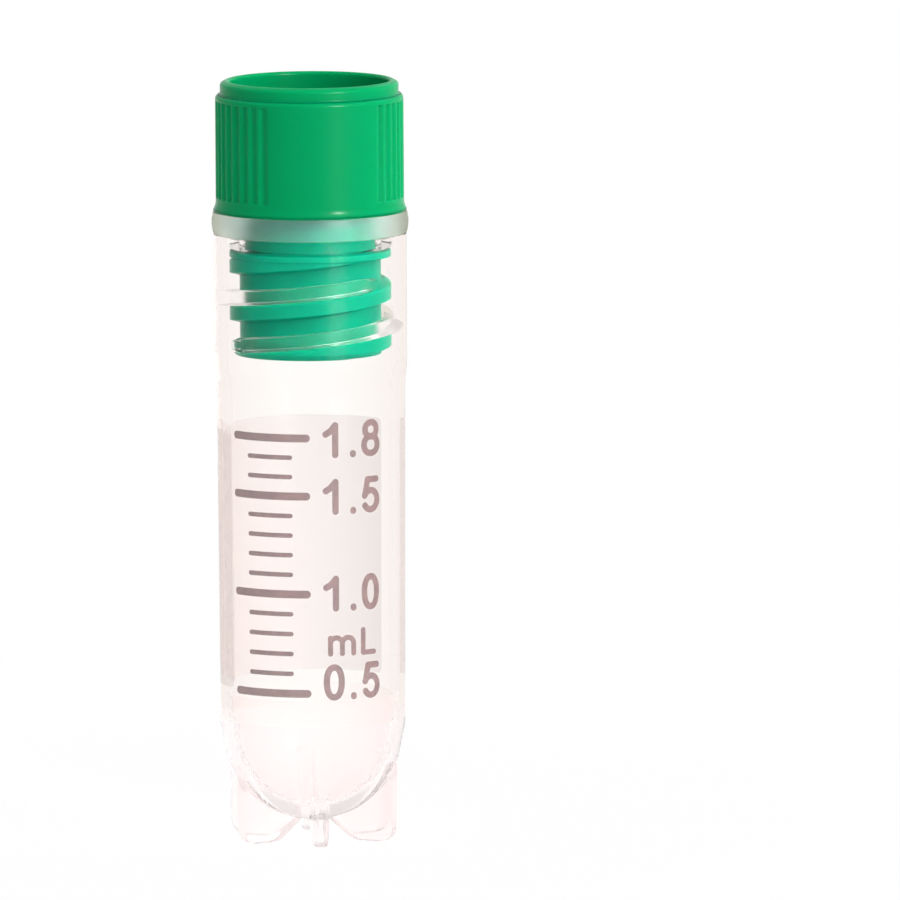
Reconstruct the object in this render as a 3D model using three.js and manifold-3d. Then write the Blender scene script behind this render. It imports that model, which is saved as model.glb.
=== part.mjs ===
// Cryogenic storage vial, 2 ml, with an internal-thread screw cap.
// Millimetres, +Z up. The origin is the middle of the star foot, on the plane that the vial
// stands on. Angles are in degrees round the axis, from the graduated front (-Y) towards +X.
import * as THREE from 'three';
import { mergeVertices } from 'three/addons/utils/BufferGeometryUtils.js';
import Module from 'manifold-3d';

const wasm = await Module();
wasm.setup();

// ---- facets -------------------------------------------------------------------------------
const TURN_FACETS = 64;             // flats round a full turn
const THREAD_FACETS = 40;           // steps of a thread in one turn

// ---- tube: outside and bore ---------------------------------------------------------------
const TUBE_HEIGHT = 38.6;           // foot plane to rim
const MOUTH_BORE = 5.3;             // bore radius behind the thread
const MOUTH_WALL = 0.8;
const MOUTH_DEPTH = 8.3;            // rim to the foot of the threaded mouth
const MOUTH_RUNOUT = 1.2;           // height of the taper from the mouth into the barrel
const BARREL_BORE_TOP = 5.1;        // barrel bore radius, under the mouth
const BARREL_BORE_FOOT = 4.98;      // barrel bore radius, at the shoulder
const BARREL_WALL = 0.86;
const RIM_ROUND = 0.2;
const SHOULDER_HEIGHT = 7.35;       // where the barrel starts to draw in to the dome
const DOME_RADIUS = 5.65;           // outside of the round bottom
const DOME_CLEAR = 1.2;             // lowest point of the dome above the foot plane
const DOME_WALL = 1.05;             // thickness at the middle of the round bottom
const BOWL_RADIUS = 4.75;           // inside of the round bottom
const BOWL_BLEND = 1.8;             // height of the taper from the barrel's bore into the bowl
const DOME_START = 5.2;             // height at which the shoulder cone meets the dome

// ---- star foot ----------------------------------------------------------------------------
const FIN_COUNT = 6;
const FIN_ANGLE = 5.5;              // angle of the first fin
const FIN_REACH = 5.62;             // radius of the fins' outer edges
const FIN_TOP = 4.9;                // height of the fins' outer edges
const FIN_TOP_RISE = 0.35;          // rise of a fin's upper edge, inwards to the wall
const FIN_FOOT_THICKNESS = 0.84;
const FIN_TOP_THICKNESS = 1.14;
const FIN_FOOT_INNER = 2.9;         // radius where the flat of the foot starts
const FIN_FOOT_ROUND = 1.5;         // rounding of the corner there
const FIN_HEEL_RADIUS = 0.95;       // rounding of the outer lower corner
const FIN_ARCH_RADIUS = 1.2;        // radius where a fin's inner edge meets the dome
const FIN_ROOT = 0.35;              // how far a fin is let into the dome's wall

// ---- thread -------------------------------------------------------------------------------
const THREAD_LEAD = 3.0;            // rise in one turn, right-handed, one start
const RIDGE_DEPTH = 0.68;           // tube ridge, from bore to crest
const RIDGE_BASE = 1.0;             // its height along Z at the bore
const RIDGE_CREST = 0.7;            // and at its crest
const RIDGE_DROP = 3.35;            // rim down to the ridge's middle at the front
const RIDGE_TOP_ANGLE = 52;
const RIDGE_FOOT_ANGLE = -425;
const THREAD_BASE = 1.25;           // plug thread, height along Z at its root
const THREAD_CREST = 0.8;
const THREAD_TOP_ANGLE = 420;
const THREAD_RUNOUT_ANGLE = 14;     // angle over which a thread's end fades away
const THREAD_TIP_SHARE = 0.15;      // share of the section left at its very tip
const THREAD_ROOTED = 0.25;         // how far a thread is let into what carries it

// ---- clearances ---------------------------------------------------------------------------
const CREST_CLEARANCE = 0.19;       // plug crest to mouth bore
const ROOT_CLEARANCE = 0.15;        // ridge crest to plug root
const FLANK_CLEARANCE = 0.06;       // ridge to plug thread, along Z, at mid depth
const SEAL_CLEARANCE = 0.15;        // seal to neck, bore and collar

// ---- plug (moulded with the cap) ----------------------------------------------------------
const NECK_RADIUS = 4.12;
const COLLAR_HEIGHT = 0.42;
const PLUG_LENGTH = 9.05;           // cap underside to plug end
const PLUG_CHAMFER = 0.35;
const PLUG_FLOOR = 1.3;
const PLUG_HOLLOW = 3.1;            // radius of the hollow inside the plug

// ---- cap ----------------------------------------------------------------------------------
const CAP_HEIGHT = 8.4;             // underside to top
const CAP_RADIUS = 5.95;
const CAP_FLARE_RADIUS = 6.1;       // smooth band at the foot, hollow towards the grip
const CAP_FLARE_HEIGHT = 0.8;
const CAP_FLARE_EDGE = 0.12;
const CAP_STEP_RADIUS = 5.65;       // stacking step at the top
const CAP_STEP_HEIGHT = 1.0;
const CAP_SHOULDER_ROUND = 0.3;
const CAP_WALL = 0.6;               // wall of the step, round the recess
const CAP_WEB = 1.4;                // thickness of the web above the seal
const CAP_LIP_FALL = 0.2;           // fall of the lip's top, from the recess outwards
const CAP_LIP_ROUND = 0.25;         // its outer edge
const CAP_LIP_ROUND_ANGLE = 60;
const CAP_LIP_EDGE = 0.06;          // bevel at the recess
const RIB_PITCH_ANGLE = 7.25;       // angle between neighbouring grooves
const RIB_GROOVES = 15;             // grooves in each of the two gripping fields
const RIB_DEPTH = 0.14;
const RIB_SKIN = 0.02;              // rib crowns lie this far below the smooth panels
const RIB_MARGIN_TOP = 0.3;         // smooth strip above the ribs, under the step
const RIB_FACETS = 4;               // flats from one groove to the next
const RIB_CUTTER = 1.0;             // how far the ribs' cutter reaches outside the grip
const PANEL_ANGLE = 10.15;          // middle of the smooth front panel
const GRIP_COUNT = 2;

// ---- seal ---------------------------------------------------------------------------------
const SEAL_THICKNESS = 1.4;         // tube rim to cap underside
const SEAL_RADIUS = 6.22;           // widest, near mid height
const SEAL_EDGE_RADIUS = 6.12;      // at the two flat faces
const SEAL_BULGE_FACETS = 6;
const COLLAR_DROP = 1.05;           // tube rim down to the collar's upper face

// ---- levels and radii that follow ---------------------------------------------------------
const DEG = Math.PI / 180;
const RIM = TUBE_HEIGHT;
const MOUTH_FOOT = RIM - MOUTH_DEPTH;
const BARREL_TOP = MOUTH_FOOT - MOUTH_RUNOUT;
const CAP_FOOT = RIM + SEAL_THICKNESS;
const CAP_TOP = CAP_FOOT + CAP_HEIGHT;
const CAP_STEP = CAP_TOP - CAP_STEP_HEIGHT;
const CAP_WEB_TOP = CAP_FOOT + CAP_WEB;
const RECESS_RADIUS = CAP_STEP_RADIUS - CAP_WALL;
const PLUG_END = CAP_FOOT - PLUG_LENGTH;
const COLLAR_TOP = RIM - COLLAR_DROP;
const COLLAR_FOOT = COLLAR_TOP - COLLAR_HEIGHT;
const PLUG_CREST_RADIUS = MOUTH_BORE - CREST_CLEARANCE;
const RIDGE_CREST_RADIUS = MOUTH_BORE - RIDGE_DEPTH;
const PLUG_ROOT_RADIUS = RIDGE_CREST_RADIUS - ROOT_CLEARANCE;
const RIDGE_LEVEL = RIM - RIDGE_DROP;
const THREAD_LEVEL = RIDGE_LEVEL - FLANK_CLEARANCE
  - (RIDGE_BASE + RIDGE_CREST + THREAD_BASE + THREAD_CREST) / 4;
const DOME_CENTRE = DOME_CLEAR + DOME_RADIUS;
const BOWL_CENTRE = DOME_CLEAR + DOME_WALL + BOWL_RADIUS;
const CAP_FLARE = CAP_FLARE_RADIUS - CAP_RADIUS;
const CAP_FLARE_RISE = CAP_FLARE_HEIGHT - CAP_FLARE_EDGE;
const CAP_FLARE_HOLLOW = (CAP_FLARE ** 2 + CAP_FLARE_RISE ** 2) / (2 * CAP_FLARE);

// ---- solids from meshes -------------------------------------------------------------------
const point = (radius, height) => new THREE.Vector2(radius, height);

// Points of an arc round (cr, cz), angles counted from outwards (+radius) towards up.
function arc(cr, cz, radius, fromDeg, toDeg, steps) {
  return Array.from({ length: steps + 1 }, (_, i) => {
    const a = (fromDeg + (toDeg - fromDeg) * i / steps) * DEG;
    return point(cr + radius * Math.cos(a), cz + radius * Math.sin(a));
  });
}

function toSolid(geometry) {
  geometry.deleteAttribute('normal');
  geometry.deleteAttribute('uv');
  const merged = mergeVertices(geometry, 1e-4);
  const index = merged.index.array;
  const triangles = [];
  for (let i = 0; i < index.length; i += 3) {
    const [a, b, c] = index.slice(i, i + 3);
    if (a !== b && b !== c && c !== a) triangles.push(a, b, c);
  }
  return new wasm.Manifold(new wasm.Mesh({
    numProp: 3,
    vertProperties: new Float32Array(merged.attributes.position.array),
    triVerts: new Uint32Array(triangles),
  }));
}

// A profile of (radius, height) points, listed upwards along the outside, turned round +Z.
function turned(profile) {
  return toSolid(new THREE.LatheGeometry(profile, TURN_FACETS).rotateX(Math.PI / 2));
}

function toMesh(name, solid, material) {
  const { vertProperties, triVerts } = solid.getMesh();
  const geometry = new THREE.BufferGeometry();
  geometry.setAttribute('position', new THREE.BufferAttribute(vertProperties, 3));
  geometry.setIndex(new THREE.BufferAttribute(triVerts, 1));
  geometry.computeVertexNormals();
  const mesh = new THREE.Mesh(geometry, material);
  mesh.name = name;
  return mesh;
}

// A thread: a four-cornered section from `root` to `crest` (radii) carried along a helix whose
// middle passes `level` at the front. Both ends fade to a thin, low tip.
function helicalThread({ root, crest, baseHeight, crestHeight, level, from, to }) {
  const steps = Math.ceil(Math.abs(to - from) / 360 * THREAD_FACETS);
  const outward = crest > root ? 1 : -1;
  const positions = [];
  for (let i = 0; i <= steps; i += 1) {
    const angle = from + (to - from) * i / steps;
    const fromEnd = Math.min(angle - from, to - angle) / THREAD_RUNOUT_ANGLE;
    const full = Math.sqrt(1 - (1 - THREE.MathUtils.clamp(fromEnd, 0, 1)) ** 2);
    const size = THREAD_TIP_SHARE + (1 - THREAD_TIP_SHARE) * full;
    const tip = root + (crest - root) * size;
    const sunk = root - outward * THREAD_ROOTED;
    const middle = level + THREAD_LEAD * angle / 360;
    for (const [radius, height] of [
      [sunk, -baseHeight * size / 2], [root, -baseHeight * size / 2],
      [tip, -crestHeight * size / 2], [tip, crestHeight * size / 2],
      [root, baseHeight * size / 2], [sunk, baseHeight * size / 2],
    ]) {
      positions.push(radius * Math.sin(angle * DEG), -radius * Math.cos(angle * DEG),
        middle + height);
    }
  }
  const corners = 6;
  const index = [];
  const face = (a, b, c) => index.push(...(outward > 0 ? [a, b, c] : [a, c, b]));
  for (let i = 0; i < steps; i += 1) {
    for (let j = 0; j < corners; j += 1) {
      const a = i * corners + j;
      const b = i * corners + (j + 1) % corners;
      face(a, a + corners, b);
      face(b, a + corners, b + corners);
    }
  }
  const last = steps * corners;
  for (let j = 1; j < corners - 1; j += 1) {
    face(0, j, j + 1);
    face(last, last + j + 1, last + j);
  }
  const geometry = new THREE.BufferGeometry();
  geometry.setAttribute('position', new THREE.Float32BufferAttribute(positions, 3));
  geometry.setIndex(index);
  return toSolid(geometry);
}

// ---- tube: barrel, round bottom, star foot and inside thread, moulded in one ----------------
function tubeProfile() {
  const domeEnd = Math.asin((DOME_START - DOME_CENTRE) / DOME_RADIUS) / DEG;
  const mouth = MOUTH_BORE + MOUTH_WALL;
  return [
    ...arc(0, DOME_CENTRE, DOME_RADIUS, -90, domeEnd, 8),
    point(BARREL_BORE_FOOT + BARREL_WALL, SHOULDER_HEIGHT),
    point(BARREL_BORE_TOP + BARREL_WALL, BARREL_TOP),
    point(mouth, MOUTH_FOOT),
    ...arc(mouth - RIM_ROUND, RIM - RIM_ROUND, RIM_ROUND, 0, 90, 2),
    ...arc(MOUTH_BORE + RIM_ROUND, RIM - RIM_ROUND, RIM_ROUND, 90, 180, 2),
    point(MOUTH_BORE, MOUTH_FOOT),
    point(BARREL_BORE_TOP, BARREL_TOP),
    point(BARREL_BORE_FOOT, BOWL_CENTRE + BOWL_BLEND),
    ...arc(0, BOWL_CENTRE, BOWL_RADIUS, 0, -90, 8),
  ];
}

// One fin, standing on the foot plane, let into the dome along a shell inside its wall.
function fin(angle) {
  const shell = DOME_RADIUS - FIN_ROOT;
  const upper = Math.asin((FIN_TOP + FIN_TOP_RISE - DOME_CENTRE) / shell);
  const lower = -Math.acos(FIN_ARCH_RADIUS / shell);
  const archHeight = DOME_CENTRE - Math.sqrt(DOME_RADIUS ** 2 - FIN_ARCH_RADIUS ** 2);
  const innerSlope = Math.atan2(archHeight, FIN_FOOT_INNER - FIN_ARCH_RADIUS);
  const tangent = FIN_FOOT_ROUND * Math.tan(innerSlope / 2);
  const outline = new THREE.Shape();
  outline.moveTo(FIN_FOOT_INNER - tangent * Math.cos(innerSlope), tangent * Math.sin(innerSlope));
  outline.quadraticCurveTo(FIN_FOOT_INNER, 0, FIN_FOOT_INNER + tangent, 0);
  outline.lineTo(FIN_REACH - FIN_HEEL_RADIUS, 0);
  outline.absarc(FIN_REACH - FIN_HEEL_RADIUS, FIN_HEEL_RADIUS, FIN_HEEL_RADIUS,
    -Math.PI / 2, 0, false);
  outline.lineTo(FIN_REACH, FIN_TOP);
  outline.absarc(0, DOME_CENTRE, shell, upper, lower, true);
  outline.lineTo(FIN_ARCH_RADIUS, archHeight);
  outline.closePath();

  const geometry = new THREE.ExtrudeGeometry(outline,
    { depth: FIN_TOP_THICKNESS, bevelEnabled: false, curveSegments: 5 });
  const place = geometry.attributes.position;
  for (let i = 0; i < place.count; i += 1) {
    const share = place.getY(i) / FIN_TOP;
    const thickness = FIN_FOOT_THICKNESS + (FIN_TOP_THICKNESS - FIN_FOOT_THICKNESS) * share;
    place.setZ(i, (place.getZ(i) / FIN_TOP_THICKNESS - 0.5) * thickness);
  }
  return toSolid(geometry.rotateX(Math.PI / 2).rotateZ((angle - 90) * DEG));
}

function tube() {
  const ridge = helicalThread({
    root: MOUTH_BORE,
    crest: RIDGE_CREST_RADIUS,
    baseHeight: RIDGE_BASE,
    crestHeight: RIDGE_CREST,
    level: RIDGE_LEVEL,
    from: RIDGE_FOOT_ANGLE,
    to: RIDGE_TOP_ANGLE,
  });
  let solid = turned(tubeProfile()).add(ridge);
  for (let i = 0; i < FIN_COUNT; i += 1) solid = solid.add(fin(FIN_ANGLE + 360 / FIN_COUNT * i));
  return solid;
}

// ---- cap: grip, web and hollow threaded plug, moulded in one --------------------------------
function capProfile() {
  return [
    point(0, PLUG_END),
    point(PLUG_ROOT_RADIUS, PLUG_END),
    point(PLUG_ROOT_RADIUS, COLLAR_FOOT),
    point(PLUG_CREST_RADIUS, COLLAR_FOOT),
    point(PLUG_CREST_RADIUS, COLLAR_TOP),
    point(NECK_RADIUS, COLLAR_TOP),
    point(NECK_RADIUS, CAP_FOOT),
    point(CAP_FLARE_RADIUS - CAP_FLARE_EDGE, CAP_FOOT),
    ...arc(CAP_RADIUS + CAP_FLARE_HOLLOW, CAP_FOOT + CAP_FLARE_HEIGHT, CAP_FLARE_HOLLOW,
      180 + Math.asin(CAP_FLARE_RISE / CAP_FLARE_HOLLOW) / DEG, 180, 3),
    ...arc(CAP_RADIUS - CAP_SHOULDER_ROUND, CAP_STEP - CAP_SHOULDER_ROUND,
      CAP_SHOULDER_ROUND, 0, 90, 3),
    point(CAP_STEP_RADIUS, CAP_STEP),
    ...arc(CAP_STEP_RADIUS - CAP_LIP_ROUND, CAP_TOP - CAP_LIP_FALL - CAP_LIP_ROUND,
      CAP_LIP_ROUND, 0, CAP_LIP_ROUND_ANGLE, 3),
    point(RECESS_RADIUS + CAP_LIP_EDGE, CAP_TOP),
    point(RECESS_RADIUS, CAP_TOP - CAP_LIP_EDGE),
    point(RECESS_RADIUS, CAP_WEB_TOP),
    point(PLUG_HOLLOW, CAP_WEB_TOP),
    point(PLUG_HOLLOW, PLUG_END + PLUG_FLOOR),
    point(0, PLUG_END + PLUG_FLOOR),
  ];
}

// The plug's thread, cut off level at the plug's chamfered end and at the collar's top.
function plugThread() {
  const thread = helicalThread({
    root: PLUG_ROOT_RADIUS,
    crest: PLUG_CREST_RADIUS,
    baseHeight: THREAD_BASE,
    crestHeight: THREAD_CREST,
    level: THREAD_LEVEL,
    from: (PLUG_END - THREAD_BASE / 2 - THREAD_LEVEL) / THREAD_LEAD * 360,
    to: THREAD_TOP_ANGLE,
  });
  const outside = PLUG_CREST_RADIUS + CREST_CLEARANCE / 2;
  return thread.intersect(turned([
    point(0, PLUG_END),
    point(outside - PLUG_CHAMFER, PLUG_END),
    point(outside, PLUG_END + PLUG_CHAMFER),
    point(outside, COLLAR_TOP),
    point(0, COLLAR_TOP),
  ]));
}

// What is cut away over one gripping field: soft grooves with rounded ribs between them.
// The rib surface lies at a depth of sin squared over each pitch.
function gripCutter(middle) {
  const around = (radius, angle) => new THREE.Vector2(
    radius * Math.sin(angle * DEG), -radius * Math.cos(angle * DEG));
  const steps = RIB_GROOVES * RIB_FACETS;
  const first = middle - RIB_PITCH_ANGLE * RIB_GROOVES / 2;
  const ribs = Array.from({ length: steps + 1 }, (_, i) => {
    const groove = Math.sin(i / RIB_FACETS * Math.PI) ** 2;
    const depth = RIB_SKIN + (RIB_DEPTH - RIB_SKIN) * groove;
    return around(CAP_RADIUS - depth, first + RIB_PITCH_ANGLE * i / RIB_FACETS);
  });
  const outside = Array.from({ length: RIB_GROOVES + 1 }, (_, i) => (
    around(CAP_RADIUS + RIB_CUTTER, first + RIB_PITCH_ANGLE * (RIB_GROOVES - i))));
  const foot = CAP_FOOT + CAP_FLARE_HEIGHT;
  const height = CAP_STEP - RIB_MARGIN_TOP - foot;
  const geometry = new THREE.ExtrudeGeometry(new THREE.Shape([...ribs, ...outside]),
    { depth: height, bevelEnabled: false });
  return toSolid(geometry.translate(0, 0, foot));
}

function cap() {
  let solid = turned(capProfile()).add(plugThread());
  for (let i = 0; i < GRIP_COUNT; i += 1) {
    solid = solid.subtract(gripCutter(PANEL_ANGLE + 360 / GRIP_COUNT * (i + 0.5)));
  }
  return solid;
}

// ---- seal: a washer with a skirt that hangs into the mouth, captive above the collar --------
function seal() {
  const bore = NECK_RADIUS + SEAL_CLEARANCE;
  const skirt = MOUTH_BORE - SEAL_CLEARANCE;
  const skirtFoot = COLLAR_TOP + SEAL_CLEARANCE;
  const bulge = Array.from({ length: SEAL_BULGE_FACETS + 1 }, (_, i) => {
    const share = i / SEAL_BULGE_FACETS;
    const radius = SEAL_EDGE_RADIUS + (SEAL_RADIUS - SEAL_EDGE_RADIUS) * Math.sin(share * Math.PI);
    return point(radius, RIM + SEAL_THICKNESS * share);
  });
  return turned([
    point(bore, skirtFoot),
    point(skirt, skirtFoot),
    point(skirt, RIM),
    ...bulge,
    point(bore, CAP_FOOT),
    point(bore, skirtFoot),
  ]);
}

// ---- materials and assembly -----------------------------------------------------------------
const naturalPolypropylene = new THREE.MeshStandardMaterial({
  color: 0xf6ebe6, roughness: 0.25, metalness: 0, transparent: true, opacity: 0.35,
});
const greenPolypropylene = new THREE.MeshStandardMaterial({
  color: 0x00a862, roughness: 0.3, metalness: 0,
});
const clearSilicone = new THREE.MeshStandardMaterial({
  color: 0xd6dfd6, roughness: 0.4, metalness: 0, transparent: true, opacity: 0.7,
});

const vial = new THREE.Group();
vial.add(toMesh('tube', tube(), naturalPolypropylene));
vial.add(toMesh('seal_ring', seal(), clearSilicone));
vial.add(toMesh('cap', cap(), greenPolypropylene));

export default vial;
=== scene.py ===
# %% [markdown]
# # A two-millilitre cryogenic vial
#
# The vial is three moulded pieces: a clear tube with a star foot, a soft seal ring, and a green
# screw cap whose threaded plug hangs inside the tube's mouth. The construction comes from a
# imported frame. This script adds the fine surfaces, the printed scale, the finishes, the light
# and the camera. All lengths below are in millimetres, and `MM` turns them into metres.

import bmesh
import bpy
import numpy as np
from mathutils import Matrix, Vector


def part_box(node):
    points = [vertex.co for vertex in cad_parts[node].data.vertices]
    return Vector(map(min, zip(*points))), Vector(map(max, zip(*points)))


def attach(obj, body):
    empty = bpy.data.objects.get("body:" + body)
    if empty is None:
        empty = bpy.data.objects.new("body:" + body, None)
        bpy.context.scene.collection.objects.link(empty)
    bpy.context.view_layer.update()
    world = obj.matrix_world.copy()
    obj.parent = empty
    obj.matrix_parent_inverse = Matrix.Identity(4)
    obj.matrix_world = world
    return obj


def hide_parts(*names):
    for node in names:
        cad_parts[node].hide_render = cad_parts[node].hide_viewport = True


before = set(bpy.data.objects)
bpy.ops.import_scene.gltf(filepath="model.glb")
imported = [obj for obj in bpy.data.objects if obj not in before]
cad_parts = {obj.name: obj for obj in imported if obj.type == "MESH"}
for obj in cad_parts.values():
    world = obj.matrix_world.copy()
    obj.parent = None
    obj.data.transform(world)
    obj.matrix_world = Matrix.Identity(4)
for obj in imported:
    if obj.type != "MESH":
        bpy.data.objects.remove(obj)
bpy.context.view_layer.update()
MM = 0.001

# %% [markdown]
# ## Levels and radii
#
# The levels at which the pieces meet are read from the frame, so that every skin made here sits
# where its solid does. The rest are the radii and heights of each piece's own outline.

# %% Levels from the frame
tube_high = np.array(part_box("tube")[1]) / MM
seal_low, seal_high = (np.array(corner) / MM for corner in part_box("seal_ring"))
cap_low, cap_high = (np.array(corner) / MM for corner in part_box("cap"))

RIM = tube_high[2]  # top of the tube
MOUTH_OUTSIDE = tube_high[0]
SKIRT_FOOT, CAP_FOOT = seal_low[2], seal_high[2]
SEAL_RADIUS = seal_high[0]
PLUG_END, CAP_TOP = cap_low[2], cap_high[2]
FLARE_RADIUS = cap_high[0]
print(f"rim {RIM:.2f}, cap {CAP_FOOT:.2f} to {CAP_TOP:.2f}, plug end {PLUG_END:.2f}")

# %% [markdown]
# ## A path and a turn
#
# Every piece here is nearly a turned one. So the first tools are a path with rounded corners in
# the plane of radius and height, and a function that turns it round the axis. The angle starts at
# the printed front, which faces -Y, and grows towards +X.

# %% Rounded paths and turned grids
NEARLY_STRAIGHT = np.radians(89.5)  # half of a corner's angle that is too flat to round


def unit(vectors):
    """The same vectors with lengths of 1."""
    return vectors / np.linalg.norm(vectors, axis=-1, keepdims=True)


def rounded_path(corners, steps=6, margin=0.04):
    """Points of a path through (radius, height, rounding) corners.

    Each corner with a rounding becomes an arc that touches both its straight runs. The arc's
    centre lies on the corner's bisector, at rounding / sin(half the corner's angle). One more
    point is set just outside each end of the arc, so that the straight runs shade flat.
    """
    corners = np.array(corners, float)
    path = [corners[:1, :2]]
    for before, here, after in zip(corners[:-2], corners[1:-1], corners[2:]):
        rounding = here[2]
        to_before, to_after = unit(before[:2] - here[:2]), unit(after[:2] - here[:2])
        half = np.arccos(np.clip(to_before @ to_after, -1, 1)) / 2
        if rounding == 0 or half > NEARLY_STRAIGHT:
            path.append(here[None, :2])
            continue
        reach = rounding / np.tan(half)
        centre = here[:2] + unit(to_before + to_after) * rounding / np.sin(half)
        start, end = here[:2] + to_before * reach, here[:2] + to_after * reach
        first = np.arctan2(*(start - centre)[::-1])
        sweep = (np.arctan2(*(end - centre)[::-1]) - first + np.pi) % (2 * np.pi) - np.pi
        turn = first + sweep * np.linspace(0, 1, steps + 1)
        curve = centre + rounding * np.stack([np.cos(turn), np.sin(turn)], axis=1)
        path.append(np.vstack([start + to_before * margin, curve, end + to_after * margin]))
    path.append(corners[-1:, :2])
    return np.vstack(path)


def turned(radius, height, angles):
    """Grid of points: x = radius sin(angle), y = -radius cos(angle), z = height."""
    radius, height = np.broadcast_arrays(radius, height)
    across = np.radians(angles)
    shape = np.broadcast_shapes(radius.shape, across.shape)
    return np.stack([
        np.broadcast_to(radius * np.sin(across), shape),
        np.broadcast_to(-radius * np.cos(across), shape),
        np.broadcast_to(height, shape),
    ], axis=-1)


def turned_path(path, angles):
    """A path of (radius, height) points, one row of the grid for each."""
    return turned(path[:, :1], path[:, 1:], angles)


TUBE_ANGLES = np.arange(0, 360, 1.5)
print("a path of", len(rounded_path([(0, 0, 0), (5, 0, 1), (5, 5, 0)])), "points rounds one corner")

# %% [markdown]
# ## From a grid to a mesh
#
# A grid becomes four-cornered faces between neighbouring rows and columns, and the last column
# joins the first. On a thread the rows climb by one lead in a turn, so there the last column
# joins the first a few rows further on, which `seam` says. Rows that fall together, as at a
# pole, are merged.

# %% Mesh from a grid
MERGE_DISTANCE = 1e-8  # metres


def placed(name, data):
    """A new object at the origin, in the scene's collection, that holds the data."""
    thing = bpy.data.objects.new(name, data)
    bpy.context.scene.collection.objects.link(thing)
    return thing


def new_piece(name, mesh, sharp=32):
    """A piece at the origin, shaded smooth except where faces meet at more than `sharp` degrees."""
    mesh.shade_smooth()
    mesh.set_sharp_from_angle(angle=np.radians(sharp))
    return placed(name, mesh)


def numbered(points):
    """Number of every point of a grid, in the grid's own rows and columns."""
    rows, columns = points.shape[:2]
    return np.arange(rows * columns).reshape(rows, columns)


def cleaned(mesh, outwards=False):
    """Merge a mesh's points that fall together, turn its faces outwards if asked, count holes."""
    work = bmesh.new()
    work.from_mesh(mesh)
    bmesh.ops.remove_doubles(work, verts=work.verts, dist=MERGE_DISTANCE)
    if outwards:
        bmesh.ops.recalc_face_normals(work, faces=work.faces)
    work.to_mesh(mesh)
    open_edges = sum(not edge.is_manifold for edge in work.edges)
    work.free()
    return open_edges


def grid_mesh(name, points, seam=None):
    """Closed skin of a grid of points in millimetres, rows up the outside, columns round +Z."""
    ids = numbered(points)
    seam = np.arange(len(ids)) if seam is None else seam
    beside = np.concatenate([ids[:, 1:], ids[seam, :1]], axis=1)
    quads = np.stack([ids[:-1], beside[:-1], beside[1:], ids[1:]], axis=-1).reshape(-1, 4)
    mesh = bpy.data.meshes.new(name)
    mesh.vertices.add(ids.size)
    mesh.vertices.foreach_set("co", (points * MM).ravel())
    mesh.loops.add(quads.size)
    mesh.loops.foreach_set("vertex_index", quads.ravel())
    mesh.polygons.add(len(quads))
    mesh.polygons.foreach_set("loop_start", np.arange(0, quads.size, 4))
    mesh.update(calc_edges=True)
    open_edges = cleaned(mesh)
    print(f"{name}: {len(mesh.polygons)} faces, {open_edges} open edges")
    return mesh


# %% [markdown]
# ## The thread
#
# The cap screws into the tube by one ridge in the mouth and one thread on the plug. Both have
# the same lead and climb to the right. A thread could be a separate coil, but then its foot
# would only cross the wall. Here it is part of the wall's own grid: the rows of the grid climb
# with the thread, so its edges follow the rows and stay clean.

# %% Thread rows and section
LEAD = 3.0  # climb in one turn
FADE_ANGLE = 14.0  # a thread's ends fade over this angle
CREST_ROWS, FLANK_ROWS, ROOT_ROWS, ROW_GAP = 4, 9, 5, 0.03


def smooth_step(share):
    """3 s^2 - 2 s^3 for a share s held between 0 and 1."""
    share = np.clip(share, 0, 1)
    return share * share * (3 - 2 * share)


def climbing_rows(low, high, level, offsets, angles):
    """Heights of rows that climb one lead in a turn, held between two levels, and their seam.

    Row heights at the first column are level + lead * turns + offset, for every whole number of
    turns and every offset in one lead. A row that leaves the band lies on its edge. The last
    column joins the first one lead further up, and rows that are all on the top edge join
    themselves.
    """
    level = level + LEAD * angles[0] / 360
    first, last = np.floor((low - level) / LEAD) - 2, np.ceil((high - level) / LEAD) + 3
    starts = np.sort((level + LEAD * np.arange(first, last)[:, None] + offsets).ravel())
    lowest, highest = np.searchsorted(starts, (low - LEAD, high + LEAD))
    starts = starts[lowest - 1:highest + 1]
    heights = np.clip(starts[:, None] + LEAD * (angles - angles[0]) / 360, low, high)
    rows = np.arange(len(starts))
    return heights, np.where(starts < high, rows + len(offsets), rows)


def thread_share(heights, angles, level, base, crest, foot_angle, top_angle):
    """How much of the thread's depth stands at each point, 0 to 1.

    The thread's middle is at level + lead * angle / 360, for angles that count on past a full
    turn. Its flanks are smooth steps between half the base and half the crest away from that
    middle. The ends fade by the square root of 1 - (1 - share of the fade)^2.
    """
    turns = np.round((heights - level) / LEAD - angles / 360)
    along = angles + 360 * turns
    away = np.abs(heights - level - LEAD * along / 360)
    to_end = np.minimum(along - foot_angle, top_angle - along) / FADE_ANGLE
    size = np.sqrt(1 - (1 - np.clip(to_end, 0, 1)) ** 2)
    flank = (base / 2 * size - away) / np.maximum((base - crest) / 2 * size, 1e-6)
    return size * smooth_step(flank)


def section_offsets(base, crest):
    """Row heights over one lead, close together on the flanks and apart on root and crest."""
    flank = np.linspace(crest / 2, base / 2, FLANK_ROWS)
    top = np.linspace(0, crest / 2 - ROW_GAP, CREST_ROWS)
    root = np.linspace(base / 2 + ROW_GAP, LEAD / 2, ROOT_ROWS)
    half = np.concatenate([top, flank, root])
    return np.unique(np.round(np.concatenate([-half[1:-1], half]), 6))


print("rows in one lead of the ridge:", len(section_offsets(1.0, 0.7)))

# %% [markdown]
# ## The tube's wall
#
# The tube is one moulding: a thin barrel, a slightly wider mouth with the ridge inside, a round
# bottom, and six fins that stand it on a table. Its skin is a single closed grid. The rows start
# under the round bottom, go up the outside, over the rim, down through the ridge and end in the
# bowl. Clear plastic needs exactly this: one outside, one inside, and nothing between them.

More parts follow.
